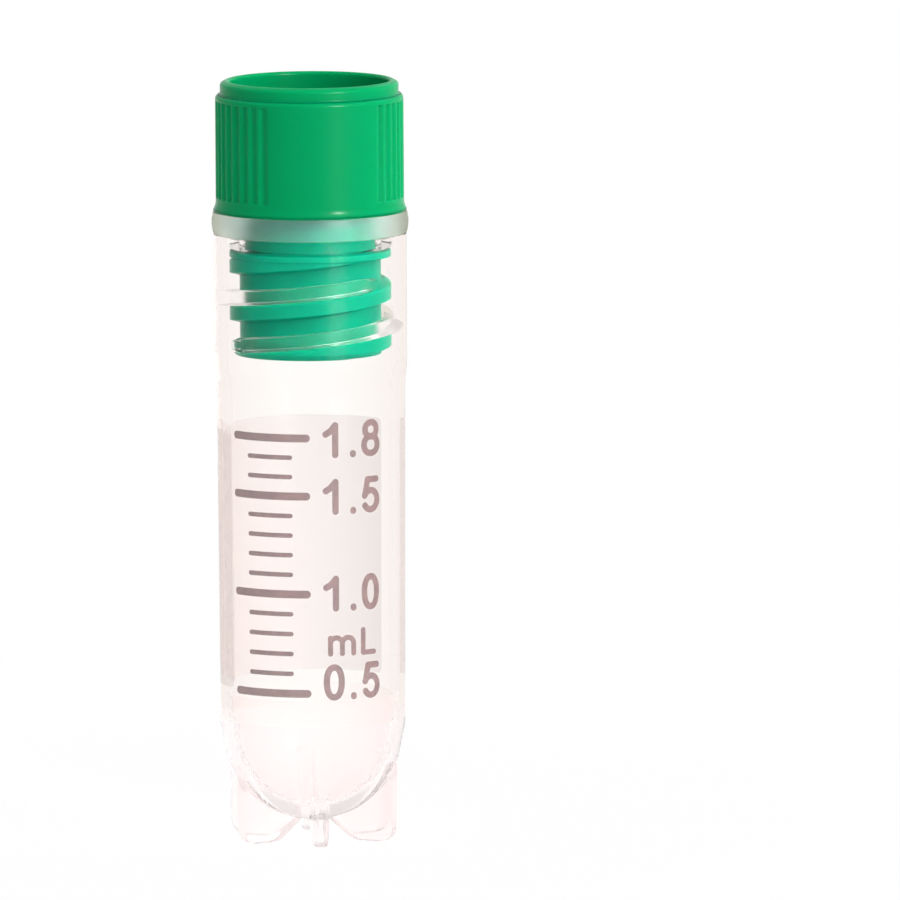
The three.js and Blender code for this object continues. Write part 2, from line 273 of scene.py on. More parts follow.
# %% Wall of the tube
MOUTH_BORE = MOUTH_OUTSIDE - 0.8
MOUTH_FOOT, BARREL_TOP = RIM - 8.3, RIM - 9.5
BORE_TOP, BORE_FOOT, WALL = 5.1, 4.98, 0.86
RIM_ROUND = 0.08
MOUTH_TOP = RIM - 2 * RIM_ROUND  # the ridge's rows end here, just under the rim's rounding
TAPER_EASE, SHOULDER_EASE, BOWL_EASE = 6, 4, 8  # wide roundings where the taper changes
SHOULDER, DOME_START = 7.35, 5.2
DOME_RADIUS, DOME_CENTRE = 5.65, 6.85
BOWL_RADIUS, BOWL_CENTRE, BOWL_BLEND = 4.75, 7.0, 1.8
RIDGE_DEPTH, RIDGE_BASE, RIDGE_CREST = 0.68, 1.0, 0.7
RIDGE_LEVEL, RIDGE_ENDS = RIM - 3.35, (-425, 52)


def arc(centre, radius, first, last, steps=40):
    """Points centre + radius * (cos, sin), in degrees from the right and counter-clockwise.

    The radius may be a pair of numbers, for a part of an ellipse.
    """
    turn = np.radians(np.linspace(first, last, steps + 1))
    return centre + radius * np.stack([np.cos(turn), np.sin(turn)], axis=1)


def tube_wall():
    """The whole skin of the tube but its fins, as one grid of points and its seam.

    On the mouth's rows the radius is the bore less the ridge's depth times its share.
    """
    dome_end = np.degrees(np.arcsin((DOME_START - DOME_CENTRE) / DOME_RADIUS))
    dome = arc((0, DOME_CENTRE), DOME_RADIUS, -90, dome_end)
    outside = rounded_path([
        (*dome[-1], 0),
        (BORE_FOOT + WALL, SHOULDER, SHOULDER_EASE),
        (BORE_TOP + WALL, BARREL_TOP, TAPER_EASE),
        (MOUTH_OUTSIDE, MOUTH_FOOT, TAPER_EASE),
        (MOUTH_OUTSIDE, RIM, RIM_ROUND),
        (MOUTH_BORE, RIM, RIM_ROUND),
        (MOUTH_BORE, MOUTH_TOP, 0),
    ])
    inside = rounded_path([
        (MOUTH_BORE, MOUTH_FOOT, 0),
        (BORE_TOP, BARREL_TOP, TAPER_EASE),
        (BORE_FOOT, BOWL_CENTRE + BOWL_BLEND, BOWL_EASE),
        (BOWL_RADIUS, BOWL_CENTRE, 0),
    ])
    bowl = arc((0, BOWL_CENTRE), BOWL_RADIUS, 0, -90)
    heights, seam = climbing_rows(
        MOUTH_FOOT, MOUTH_TOP, RIDGE_LEVEL, section_offsets(RIDGE_BASE, RIDGE_CREST), TUBE_ANGLES)
    ridge = thread_share(heights, TUBE_ANGLES, RIDGE_LEVEL, RIDGE_BASE, RIDGE_CREST, *RIDGE_ENDS)
    mouth = turned(MOUTH_BORE - RIDGE_DEPTH * ridge, heights, TUBE_ANGLES)[::-1]
    before = turned_path(np.vstack([dome, outside[1:]]), TUBE_ANGLES)
    after = turned_path(np.vstack([inside[1:], bowl[1:]]), TUBE_ANGLES)
    seam = np.concatenate([
        np.arange(len(before)),
        len(before) + (len(seam) - 1 - seam)[::-1],
        len(before) + len(seam) + np.arange(len(after)),
    ])
    return np.concatenate([before, mouth, after]), seam


tube_skin = grid_mesh("tube_skin", *tube_wall())

# %% [markdown]
# ## The star foot
#
# Each fin is a flat plate, thinner at the foot than at the top. Its outline is swept across its
# thickness, and near both sides it is drawn in along a quarter circle, which eases the edge.

# %% One fin
FIN_COUNT, FIRST_FIN = 6, 5.5
FIN_REACH, FIN_TOP, FIN_RISE = 5.62, 4.9, 0.35
FIN_FOOT_THICKNESS, FIN_TOP_THICKNESS = 0.84, 1.14
FIN_FOOT_INNER, FIN_FOOT_ROUND, FIN_HEEL = 2.9, 1.5, 0.95
FIN_ARCH, FIN_ROOT = 1.2, 0.35
FIN_EDGE, FIN_EDGE_STEPS = 0.16, 7
FIN_CORNER, FIN_SHELL_STEPS = 0.12, 30


def fin_outline():
    """Closed outline of a fin in the plane of radius and height, counter-clockwise."""
    shell = DOME_RADIUS - FIN_ROOT
    upper = np.degrees(np.arcsin((FIN_TOP + FIN_RISE - DOME_CENTRE) / shell))
    lower = -np.degrees(np.arccos(FIN_ARCH / shell))
    foot = rounded_path([
        (FIN_ARCH, DOME_CENTRE - np.sqrt(DOME_RADIUS**2 - FIN_ARCH**2), 0),
        (FIN_FOOT_INNER, 0, FIN_FOOT_ROUND),
        (FIN_REACH, 0, FIN_HEEL),
        (FIN_REACH, FIN_TOP, FIN_CORNER),
        (shell * np.cos(np.radians(upper)), FIN_TOP + FIN_RISE, 0),
    ])
    return np.vstack([foot, arc((0, DOME_CENTRE), shell, upper, lower, FIN_SHELL_STEPS)[1:]])


def fin_mesh(angle):
    """A fin: its outline drawn in by edge * (1 - sqrt(1 - s^2)) as s goes to 1 at its sides.

    s is the share of the edge's width that is used up at that depth in the plate's thickness.
    """
    outline = fin_outline()
    following = np.roll(outline, -1, axis=0) - np.roll(outline, 1, axis=0)
    outward = unit(np.stack([following[:, 1], -following[:, 0]], axis=1))
    half = np.interp(outline[:, 1], [0, FIN_TOP], [FIN_FOOT_THICKNESS / 2, FIN_TOP_THICKNESS / 2])
    share = np.sin(np.linspace(0, np.pi / 2, FIN_EDGE_STEPS))
    side = np.repeat([-1, 1], len(share))[:, None]
    share = np.concatenate([share[::-1], share])[:, None]
    across = side * (half - FIN_EDGE + FIN_EDGE * share)
    inset = FIN_EDGE * (1 - np.sqrt(1 - share**2))
    section = outline - outward * inset[:, :, None]
    turn = np.radians(angle)
    radius, height = section[..., 0], section[..., 1]
    points = np.stack([
        radius * np.sin(turn) + across * np.cos(turn),
        -radius * np.cos(turn) + across * np.sin(turn),
        height,
    ], axis=-1)
    ids = numbered(points)
    beside = np.roll(ids, -1, axis=1)
    quads = np.stack([ids[:-1], ids[1:], beside[1:], beside[:-1]], axis=-1).reshape(-1, 4)
    sides = [ids[0].tolist(), ids[-1][::-1].tolist()]
    mesh = bpy.data.meshes.new("fin")
    mesh.from_pydata((points * MM).reshape(-1, 3), [], quads.tolist() + sides)
    mesh.update()
    return mesh


print("points in a fin's outline:", len(fin_outline()))

# %% [markdown]
# ## Join the fins to the wall
#
# Fins that only stood inside the wall would leave faces inside the plastic, and light would bend
# at them. A Boolean modifier joins each fin to the wall and removes what lies inside. It is
# applied at once, so that the tube is one plain mesh.

# %% Tube with its fins
def joined(name, base, others):
    """The base mesh with every other mesh added to it by a Boolean."""
    piece = placed(name, base)
    helpers = []
    for other in others:
        helper = placed("helper", other)
        helpers.append(helper)
        union = piece.modifiers.new("union", "BOOLEAN")
        union.operation, union.solver, union.object = "UNION", "MANIFOLD", helper
    ready = piece.evaluated_get(bpy.context.evaluated_depsgraph_get())
    mesh = bpy.data.meshes.new_from_object(ready)
    mesh.name = name
    for helper in helpers + [piece]:
        bpy.data.objects.remove(helper)
    return mesh


fins = [fin_mesh(FIRST_FIN + 360 / FIN_COUNT * i) for i in range(FIN_COUNT)]
vial_tube = new_piece("vial_tube", joined("vial_tube", tube_skin, fins))
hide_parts("tube")
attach(vial_tube, "tube")
print("tube with fins:", len(vial_tube.data.polygons), "faces")

# %% [markdown]
# ## The cap
#
# The cap is one moulding too: a plug with a coarse thread, a collar that keeps the seal on, and
# a grip with two fields of ribs. The ribs' depth is sin squared over each pitch, which gives soft
# crowns and grooves, and the grid's columns are closer there, so that every groove lies on one.

# %% Grip with two ribbed fields
GRIP_RADIUS, FLARE_HEIGHT, FLARE_EDGE = FLARE_RADIUS - 0.15, 0.8, 0.12
STEP_RADIUS, STEP_FOOT = GRIP_RADIUS - 0.3, CAP_TOP - 1.0
SHOULDER_ROUND, LIP_FALL, LIP_ROUND, LIP_EDGE = 0.3, 0.3, 0.25, 0.2
RIB_PITCH, RIB_COUNT, RIB_STEPS = 7.25, 15, 12
RIB_DEPTH, RIB_RAMP = 0.14, 0.18
FRONT_PANEL = 10.15
FIELD = RIB_PITCH * RIB_COUNT
FIELD_STARTS = [FRONT_PANEL + 180 * side + (180 - FIELD) / 2 for side in range(2)]


def cap_columns(panel_steps=48):
    """Angles of the cap's columns: even steps in each ribbed field, wider ones on the panels."""
    columns = []
    for start in FIELD_STARTS:
        ribs = start + RIB_PITCH / RIB_STEPS * np.arange(RIB_COUNT * RIB_STEPS)
        panel = start + FIELD + (180 - FIELD) * np.arange(panel_steps) / panel_steps
        columns += [ribs, panel]
    return np.concatenate(columns)


def rib_depth(angles, heights):
    """Depth of the ribs: full depth * sin(pi * share of a pitch) squared, ramped at both ends."""
    depth = np.zeros(np.broadcast_shapes(angles.shape, heights.shape))
    for start in FIELD_STARTS:
        turned_by = (angles - start + 1e-6) % 360
        groove = np.sin(np.pi * turned_by / RIB_PITCH) ** 2
        depth = depth + (turned_by < FIELD + 2e-6) * RIB_DEPTH * groove
    to_end = np.minimum(STEP_FOOT - SHOULDER_ROUND - heights, heights - CAP_FOOT - FLARE_HEIGHT)
    return depth * smooth_step(to_end / RIB_RAMP)


CAP_ANGLES = cap_columns()
print("columns round the cap:", len(CAP_ANGLES))

# %% [markdown]
# ## One skin for plug, thread and grip
#
# The plug's thread is made as the ridge in the mouth is, and runs off the plug's end. The rest is a
# turned path that goes on from the thread's last row: collar, neck, flare, grip, lip and hollow.

# %% Plug, thread and the rest of the cap
PLUG_CREST, PLUG_ROOT = MOUTH_BORE - 0.19, MOUTH_BORE - RIDGE_DEPTH - 0.15
THREAD_BASE, THREAD_CREST, THREAD_GAP = 1.25, 0.8, 0.06
THREAD_DROP = (RIDGE_BASE + RIDGE_CREST + THREAD_BASE + THREAD_CREST) / 4
THREAD_LEVEL = RIDGE_LEVEL - THREAD_GAP - THREAD_DROP
THREAD_ENDS = (-1e4, 420)  # it has no end at the foot, where the plug stops first
PLUG_CHAMFER, PLUG_FLOOR, PLUG_HOLLOW = 0.35, 1.3, 3.1
NECK, COLLAR_TOP, COLLAR_FOOT = 4.12, RIM - 1.05, RIM - 1.47
RECESS, WEB_TOP = STEP_RADIUS - 0.6, CAP_FOOT + 1.4
COLLAR_ROUND, NECK_ROUND, NECK_TOP_ROUND = 0.08, 0.25, 0.12
FLARE_EASE, STEP_ROUND, WEB_ROUND, HOLLOW_ROUND = 1.3, 0.12, 0.3, 0.2
RAMP_ROWS, RAMP_GAP, GRIP_MARGIN = 7, 0.03, 0.1


def cap_skin():
    """The whole skin of the cap, as one grid of points and its seam.

    The plug's radius is its root plus the thread's depth times its share, and no more than the
    chamfer at the plug's end allows.
    """
    heights, seam = climbing_rows(
        PLUG_END, COLLAR_FOOT, THREAD_LEVEL, section_offsets(THREAD_BASE, THREAD_CREST), CAP_ANGLES)
    share = thread_share(
        heights, CAP_ANGLES, THREAD_LEVEL, THREAD_BASE, THREAD_CREST, *THREAD_ENDS)
    radius = PLUG_ROOT + (PLUG_CREST - PLUG_ROOT) * share
    radius = np.minimum(radius, PLUG_CREST - PLUG_CHAMFER + (heights - PLUG_END))
    plug = turned(radius, heights, CAP_ANGLES)
    end = turned_path(np.array([(0, PLUG_END), (PLUG_ROOT / 2, PLUG_END)]), CAP_ANGLES)
    grip_foot, grip_top = CAP_FOOT + FLARE_HEIGHT, STEP_FOOT - SHOULDER_ROUND
    ramp = RIB_RAMP * np.linspace(0, 1, RAMP_ROWS)
    path = rounded_path([
        (PLUG_ROOT, COLLAR_FOOT, 0),
        (PLUG_CREST, COLLAR_FOOT, COLLAR_ROUND),
        (PLUG_CREST, COLLAR_TOP, COLLAR_ROUND),
        (NECK, COLLAR_TOP, NECK_ROUND),
        (NECK, CAP_FOOT, NECK_TOP_ROUND),
        (FLARE_RADIUS, CAP_FOOT, FLARE_EDGE / 2),
        (FLARE_RADIUS, CAP_FOOT + FLARE_EDGE, FLARE_EDGE / 2),
        (GRIP_RADIUS, CAP_FOOT + FLARE_HEIGHT / 2, FLARE_EASE),
        *[(GRIP_RADIUS, grip_foot + rise, 0) for rise in ramp],
        *[(GRIP_RADIUS, grip_top - fall, 0) for fall in ramp[::-1]],
        (GRIP_RADIUS, STEP_FOOT, SHOULDER_ROUND - RAMP_GAP),
        (STEP_RADIUS, STEP_FOOT, STEP_ROUND),
        (STEP_RADIUS, CAP_TOP - LIP_FALL, LIP_ROUND),
        (RECESS, CAP_TOP, LIP_EDGE),
        (RECESS, WEB_TOP, WEB_ROUND),
        (PLUG_HOLLOW, WEB_TOP, HOLLOW_ROUND),
        (PLUG_HOLLOW, PLUG_END + PLUG_FLOOR, WEB_ROUND),
        (0, PLUG_END + PLUG_FLOOR, 0),
    ], margin=0.02)
    on_grip = (path[:, 0] > STEP_RADIUS + GRIP_MARGIN) & (path[:, 1] > grip_foot - 1e-6)
    depth = rib_depth(CAP_ANGLES, path[:, 1:]) * on_grip[:, None]
    upper = turned(path[:, :1] - depth, path[:, 1:], CAP_ANGLES)
    seam = np.concatenate([
        np.arange(len(end)), len(end) + seam, len(end) + len(seam) + np.arange(len(upper))])
    return np.concatenate([end, plug, upper]), seam


screw_cap = new_piece("screw_cap", grid_mesh("screw_cap", *cap_skin()))
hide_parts("cap")
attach(screw_cap, "cap")

# %% [markdown]
# ## The seal
#
# The seal is a soft washer that the cap squeezes on the tube's rim. Its outer edge bulges by a
# sine of the way up, and a skirt hangs down inside the mouth, so it can't slip off the plug.

# %% Seal ring
SEAL_EDGE, SEAL_BORE, SEAL_SKIRT = SEAL_RADIUS - 0.1, NECK + 0.15, MOUTH_BORE - 0.15
SEAL_ROUND, SKIRT_ROUND = 0.1, 0.15


def seal_path(steps=24):
    """Closed path round the seal's section: edge + (widest - edge) * sin(pi * way up)."""
    share = np.linspace(0, 1, steps + 1)[1:-1]
    bulge = np.stack([
        SEAL_EDGE + (SEAL_RADIUS - SEAL_EDGE) * np.sin(np.pi * share),
        RIM + (CAP_FOOT - RIM) * share,
    ], axis=1)
    skirt = rounded_path([
        (SEAL_BORE, RIM, 0),
        (SEAL_BORE, SKIRT_FOOT, SKIRT_ROUND),
        (SEAL_SKIRT, SKIRT_FOOT, SKIRT_ROUND),
        (SEAL_SKIRT, RIM, 0),
        (SEAL_EDGE, RIM, SEAL_ROUND),
        (*bulge[1], 0),
    ], margin=0.01)
    upper = rounded_path([
        (*bulge[-2], 0),
        (SEAL_EDGE, CAP_FOOT, SEAL_ROUND),
        (SEAL_BORE, CAP_FOOT, SEAL_ROUND),
        (SEAL_BORE, RIM, 0),
    ], margin=0.01)
    return np.vstack([skirt, bulge[2:-2], upper])


seal = new_piece("seal", grid_mesh("seal", turned_path(seal_path(), TUBE_ANGLES)))
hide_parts("seal_ring")
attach(seal, "seal")

# %% [markdown]
# ## The printed scale
#
# The scale is ink on the tube's outside: long bars at 0.5, 1.0, 1.5 and 1.8 ml, short bars
# between them, and round-ended numerals. All of it is drawn with one kind of stroke, a ribbon of
# even width that is closed by half circles. It is drawn flat and then wrapped round the barrel.

# %% Strokes of ink on a curved wall
PRINT_RADIUS = BORE_TOP + WALL  # arc lengths are turned into angles at this radius
INK_BELOW, INK_ABOVE = -0.012, 0.018


def wall_radius(height):
    """Outside radius of the barrel, which grows evenly from the shoulder to the mouth."""
    return np.interp(height, [SHOULDER, BARREL_TOP], [BORE_FOOT + WALL, BORE_TOP + WALL])


def wrapped(flat, lift):
    """Points of a flat drawing (millimetres to the right, millimetres up) laid on the wall."""
    across, height = flat[..., 0], flat[..., 1]
    return turned(wall_radius(height) + lift, height, np.degrees(across / PRINT_RADIUS))


def closed_slab(name, flat, below, above):
    """Mesh of a flat grid of points given a thickness: one loop over the top and back under."""
    top, under = wrapped(flat, above), wrapped(flat, below)
    loop = np.concatenate([top, under[:, ::-1]], axis=1)
    ids = numbered(loop)
    beside = np.roll(ids, -1, axis=1)
    quads = np.stack([ids[:-1], beside[:-1], beside[1:], ids[1:]], axis=-1).reshape(-1, 4)
    half = ids.shape[1] // 2
    ends = []
    for row, order in ((ids[0], -1), (ids[-1], 1)):
        left, right = row[:half], row[half:][::-1]
        end = np.stack([left[:-1], left[1:], right[1:], right[:-1]], axis=-1)
        ends.append(end[:, ::order])
    mesh = bpy.data.meshes.new(name)
    mesh.from_pydata((loop * MM).reshape(-1, 3), [], np.concatenate([quads, *ends]).tolist())
    cleaned(mesh, outwards=True)
    return mesh


def even_path(corners, spacing=0.06):
    """A path of straight runs cut into even steps."""
    corners = np.array(corners, float)
    runs = np.linalg.norm(np.diff(corners, axis=0), axis=1)
    reach = np.concatenate([[0], np.cumsum(runs)])
    places = np.linspace(0, reach[-1], int(np.ceil(reach[-1] / spacing)) + 1)
    return np.stack([np.interp(places, reach, corners[:, i]) for i in range(2)], axis=1)


def stroke(path, width, ends=6, across=4):
    """Flat grid of a round-ended stroke: centre + side * half width at each point of a path.

    Beyond each end of the path the half width falls to 0 as sqrt(r^2 - d^2).
    """
    along = unit(np.gradient(path, axis=0))
    reach = width / 2
    beyond = reach * np.sin(np.linspace(0, np.pi / 2, ends + 1))[1:, None]
    path = np.vstack([
        path[0] - along[0] * beyond[::-1], path, path[-1] + along[-1] * beyond])
    half = np.concatenate([
        np.sqrt(np.maximum(reach**2 - beyond[::-1, 0]**2, 0)),
        np.full(len(along), reach),
        np.sqrt(np.maximum(reach**2 - beyond[:, 0]**2, 0))])
    along = np.vstack([
        np.repeat(along[:1], ends, axis=0), along, np.repeat(along[-1:], ends, axis=0)])
    side = np.stack([-along[:, 1], along[:, 0]], axis=1)
    share = np.linspace(-1, 1, across + 1)
    return path[:, None] + side[:, None] * half[:, None, None] * share[:, None]


def stroke_mesh(path, width):
    """A stroke of ink wrapped on the wall."""
    return closed_slab("stroke", stroke(path, width), INK_BELOW, INK_ABOVE)


print("grid of one stroke:", stroke(even_path([(0, 0), (1, 0)]), 0.4).shape)

# %% Bars of the scale
LONG_BAR, SHORT_BAR = (-52.0, -3.0), (-40.8, -12.9)  # angles of the middles of their round ends
LONG_WIDTH, SHORT_WIDTH = 0.5, 0.29
LEVELS = {0.5: 9.94, 1.0: 16.26, 1.5: 22.49, 1.8: 26.18}  # millilitres to height


def scale_bars():
    """One mesh for each bar, at its height between the levels."""
    bars = []
    for step in range(5, 19):
        millilitres = step / 10
        height = np.interp(millilitres, list(LEVELS), list(LEVELS.values()))
        ends, width = (LONG_BAR, LONG_WIDTH) if millilitres in LEVELS else (SHORT_BAR, SHORT_WIDTH)
        left, right = np.radians(ends) * PRINT_RADIUS
        bars.append(stroke_mesh(even_path([(left, height), (right, height)]), width))
    return bars


bars = scale_bars()
print("bars:", len(bars))

# %% [markdown]
# ## Numerals from strokes
#
# Each numeral is a few paths on its own small sheet, with its left edge at 0 and its foot at 0.
# Where two strokes meet, their round ends overlap, and a Boolean makes one outline of them.

# %% Rings and characters
NUMERAL_STROKE, LETTER_STROKE = 0.41, 0.33


def ring(centre, reach, squareness=2.25, steps=72):
    """Closed path with |x / a|^n + |y / b|^n = 1, its last point on its first."""
    turn = np.linspace(0, 2 * np.pi, steps + 1)
    power = 2 / squareness
    x, y = np.cos(turn), np.sin(turn)
    bent = np.stack([np.sign(x) * np.abs(x) ** power, np.sign(y) * np.abs(y) ** power], axis=1)
    return np.array(centre) + bent * np.array(reach)


def ring_mesh(path, width, across=4):
    """A closed stroke of ink: the same grid as an open one, with its last row on its first."""
    along = unit(np.roll(path[:-1], -1, axis=0) - np.roll(path[:-1], 1, axis=0))
    side = np.stack([-along[:, 1], along[:, 0]], axis=1)
    share = np.linspace(-1, 1, across + 1)[:, None]
    flat = path[:-1][:, None] + side[:, None] * width / 2 * share
    loop = np.concatenate([wrapped(flat, INK_ABOVE), wrapped(flat, INK_BELOW)[:, ::-1]], axis=1)
    ids = numbered(loop)
    beside, after = np.roll(ids, -1, axis=1), np.roll(ids, -1, axis=0)
    quads = np.stack([ids, beside, np.roll(beside, -1, axis=0), after], axis=-1).reshape(-1, 4)
    mesh = bpy.data.meshes.new("ring")
    mesh.from_pydata((loop * MM).reshape(-1, 3), [], quads.tolist())
    cleaned(mesh, outwards=True)
    return mesh


def letter_m():
    """Paths of the small letter m: a stem, and two arches that each end in a leg."""
    paths = [even_path([(0, 0), (0, 1.0)])]
    for start in (0, 0.785):
        paths.append(arc((start + 0.39, 0.62), (0.395, 0.4), 150, 0))
        paths.append(even_path([(start + 0.785, 0.62), (start + 0.785, 0)]))
    return paths


# The middles of each character's strokes, in millimetres from its left stroke and its foot.
GLYPHS = {
    "1": [even_path([(0.62, 0), (0.62, 1.88)]), even_path([(0, 1.32), (0.3, 1.5), (0.62, 1.88)])],
    "0": [ring((0.49, 0.94), (0.49, 0.95))],
    "5": [
        even_path([(0.96, 1.92), (0.26, 1.92)]),
        even_path([(0.26, 1.92), (0.06, 0.92)]),
        arc((0.5, 0.61), (0.53, 0.61), 152, -146),
    ],
    "8": [ring((0.53, 0.52), (0.53, 0.54), 2.1), ring((0.53, 1.48), (0.45, 0.45), 2.1)],
    ".": [even_path([(0, 0), (0, 0.05)], 0.02)],
    "L": [even_path([(0, 1.44), (0, 0)]), even_path([(0, 0), (0.86, 0)])],
    "m": letter_m(),
}


def glyph_mesh(character, left, foot, width):
    """One character on the wall, its strokes joined to one mesh."""
    strokes = []
    for path in GLYPHS[character]:
        shifted = path + np.array([left, foot])
        closed = np.allclose(shifted[0], shifted[-1])
        strokes.append(ring_mesh(shifted, width) if closed else stroke_mesh(shifted, width))
    return strokes[0] if len(strokes) == 1 else joined(character, strokes[0], strokes[1:])


print("characters drawn:", *GLYPHS)

# %% Numerals on the wall
NUMERAL_LEFTS = (0.93, 2.75, 3.56)  # left strokes of a numeral's characters, as arc lengths
NUMERAL_FEET = {"1.8": 25.1, "1.5": 21.5, "1.0": 15.35, "0.5": 9.7}
UNIT_LEFTS, UNIT_FOOT = {"m": 1.18, "L": 3.45}, 12.45


def numerals():
    """One mesh for each character of the scale."""
    made = []
    for text, foot in NUMERAL_FEET.items():
        for character, left in zip(text, NUMERAL_LEFTS):
            made.append(glyph_mesh(character, left, foot, NUMERAL_STROKE))
    for character, left in UNIT_LEFTS.items():
        made.append(glyph_mesh(character, left, UNIT_FOOT, LETTER_STROKE))
    return made


def merged(name, meshes):
    """One mesh that holds several meshes side by side."""
    work = bmesh.new()
    for mesh in meshes:
        work.from_mesh(mesh)
    whole = bpy.data.meshes.new(name)
    work.to_mesh(whole)
    work.free()
    return whole


scale_print = new_piece("scale_print", merged("scale_print", bars + numerals()))
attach(scale_print, "tube")
print("print:", len(scale_print.data.polygons), "faces")

# %% [markdown]
# ## The writing field
#
# A pale field for a label or a pen goes from the left of the scale round the side and most of
# the back. An image on the wall could show it, but a film of its own has true edges and rides
# with the tube. It is a rectangle with rounded corners, wrapped like the scale: each row's ends
# are drawn in near the top and the foot by r - sqrt(r^2 - d^2).

# %% Writing field
FIELD_LEFT, FIELD_RIGHT = 127.0, 302.0  # degrees round the tube from its printed front
FIELD_FOOT, FIELD_TOP, FIELD_CORNER = 10.0, 26.3, 0.4
FIELD_ROWS, FIELD_COLUMNS, CORNER_ROWS = 20, 121, 7
FIELD_BELOW, FIELD_ABOVE = -0.008, 0.01


def writing_field():
    """Mesh of the field: rows of heights, columns of arc lengths."""
    left, right = np.radians([FIELD_LEFT, FIELD_RIGHT]) * PRINT_RADIUS
    eased = FIELD_CORNER * (1 - np.cos(np.linspace(0, np.pi / 2, CORNER_ROWS)))
    middle = np.linspace(FIELD_FOOT, FIELD_TOP, FIELD_ROWS)[2:-2]
    heights = np.concatenate([FIELD_FOOT + eased, middle, (FIELD_TOP - eased)[::-1]])
    to_end = np.minimum(heights - FIELD_FOOT, FIELD_TOP - heights)
    used = np.maximum(FIELD_CORNER - to_end, 0)
    drawn_in = FIELD_CORNER - np.sqrt(FIELD_CORNER**2 - used**2)
    share = np.linspace(0, 1, FIELD_COLUMNS)
    across = (left + drawn_in)[:, None] + (right - left - 2 * drawn_in)[:, None] * share
    flat = np.stack([across, np.broadcast_to(heights[:, None], across.shape)], axis=-1)
    return closed_slab("writing_field", flat, FIELD_BELOW, FIELD_ABOVE)


label_field = new_piece("label_field", writing_field())
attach(label_field, "tube")
print("field:", len(label_field.data.polygons), "faces")

# %% [markdown]
# ## A moulded surface
#
# A moulding is never quite even: its gloss varies a little, and the plastic's flow leaves long
# shallow waves. A picture could carry that, but noise in object coordinates needs no file and
# sticks to the piece. It is built once, as a node group, and each material gives its own values.

# %% Materials and the moulded surface
WAVES_PER_METRE, GRAINS_PER_METRE = 350, 2500
WAVE_SCALE = (1, 1, 0.25)  # the waves are four times as long upwards as across


def new_material(name):
    """An empty node material, with its nodes and its output."""
    material = bpy.data.materials.new(name)
    material.use_nodes = True
    nodes = material.node_tree.nodes
    nodes.clear()
    return material, nodes, nodes.new("ShaderNodeOutputMaterial")


def add_nodes(nodes, *kinds):
    """New shader nodes of the given kinds, in that order."""
    return [nodes.new("ShaderNode" + kind) for kind in kinds]


def set_inputs(node, values):
    """Set a node's input sockets from pairs of name and value."""
    for socket, value in values.items():
        node.inputs[socket].default_value = value


def wire(source, output, target, socket):
    """Link an output of one node to an input of another in the same tree."""
    source.id_data.links.new(source.outputs[output], target.inputs[socket])


def moulded_group():
    """Node group: the small unevenness of a moulded surface, as a normal and a roughness.

    The roughness is the one given plus variation * (fine noise - 0.5). The normal is that of a
    coarse noise with the given height.
    """
    group = bpy.data.node_groups.new("Moulded surface", "ShaderNodeTree")
    for name in ("Roughness", "Variation", "Flow height"):
        group.interface.new_socket(name, in_out="INPUT", socket_type="NodeSocketFloat")
    group.interface.new_socket("Roughness", in_out="OUTPUT", socket_type="NodeSocketFloat")
    group.interface.new_socket("Normal", in_out="OUTPUT", socket_type="NodeSocketVector")
    nodes = group.nodes
    inputs, outputs = nodes.new("NodeGroupInput"), nodes.new("NodeGroupOutput")
    place, flow, coarse, fine, centred, spread, bump = add_nodes(
        nodes, "TexCoord", "Mapping", "TexNoise", "TexNoise", "Math", "Math", "Bump")
    set_inputs(flow, {"Scale": WAVE_SCALE})
    set_inputs(coarse, {"Scale": WAVES_PER_METRE})
    set_inputs(fine, {"Scale": GRAINS_PER_METRE})
    wire(place, "Object", flow, "Vector")
    wire(flow, "Vector", coarse, "Vector")
    wire(place, "Object", fine, "Vector")
    centred.operation = "SUBTRACT"
    centred.inputs[1].default_value = 0.5
    wire(fine, "Fac", centred, 0)
    spread.operation = "MULTIPLY_ADD"
    wire(centred, 0, spread, 0)
    wire(inputs, "Variation", spread, 1)
    wire(inputs, "Roughness", spread, 2)
    wire(spread, 0, outputs, "Roughness")
    wire(inputs, "Flow height", bump, "Distance")
    wire(coarse, "Fac", bump, "Height")
    wire(bump, "Normal", outputs, "Normal")
    return group


MOULDED = moulded_group()


def moulded(nodes, shader, roughness, variation, flow_height):
    """Put the moulded surface's roughness and normal on a shader."""
    surface = nodes.new("ShaderNodeGroup")
    surface.node_tree = MOULDED
    set_inputs(surface, {
        "Roughness": roughness, "Variation": variation, "Flow height": flow_height})
    wire(surface, "Roughness", shader, "Roughness")
    wire(surface, "Normal", shader, "Normal")
    return surface


def height_ramp(nodes, low, high, at_low=0.0, at_high=1.0):
    """Node whose result goes evenly from one value to another between two heights."""
    place, split, ramp = add_nodes(nodes, "TexCoord", "SeparateXYZ", "MapRange")
    set_inputs(ramp, {
        "From Min": low * MM, "From Max": high * MM, "To Min": at_low, "To Max": at_high})
    wire(place, "Object", split, "Vector")
    wire(split, "Z", ramp, "Value")
    return ramp


print("nodes of the moulded surface:", len(MOULDED.nodes))

# %% [markdown]
# ## Clear plastic
#
# The tube is natural polypropylene and the seal is silicone: clear, a little warm, and milky where
# they are thick. With the full bending of light they would look like hard glass with dark edges,
# so the bending is set low, and the tint deepens where a wall is seen edge-on. On the thread and
# the seal the tints are painted light as well: their green-blue face-on tints are painted green
# light from the plug behind them, and their darker edge-on tints are painted shade. Lamps can't
# shine through a refracting wall in a short render, so a shadow ray sees open air instead.

# %% Clear material
WHITE = (1, 1, 1)
FOOT_ZONE_TOP, FOOT_ROUGH_BELOW = 9.6, 6.0


def blend_colour(nodes, shader, share, socket, start, end):
    """Give a shader a colour that goes from one to another with a node's output."""
    tone, = add_nodes(nodes, "Mix")
    tone.data_type = "RGBA"
    set_inputs(tone, {"A": (*start, 1), "B": (*end, 1)})
    wire(share, socket, tone, "Factor")
    wire(tone, "Result", shader, "Base Color")


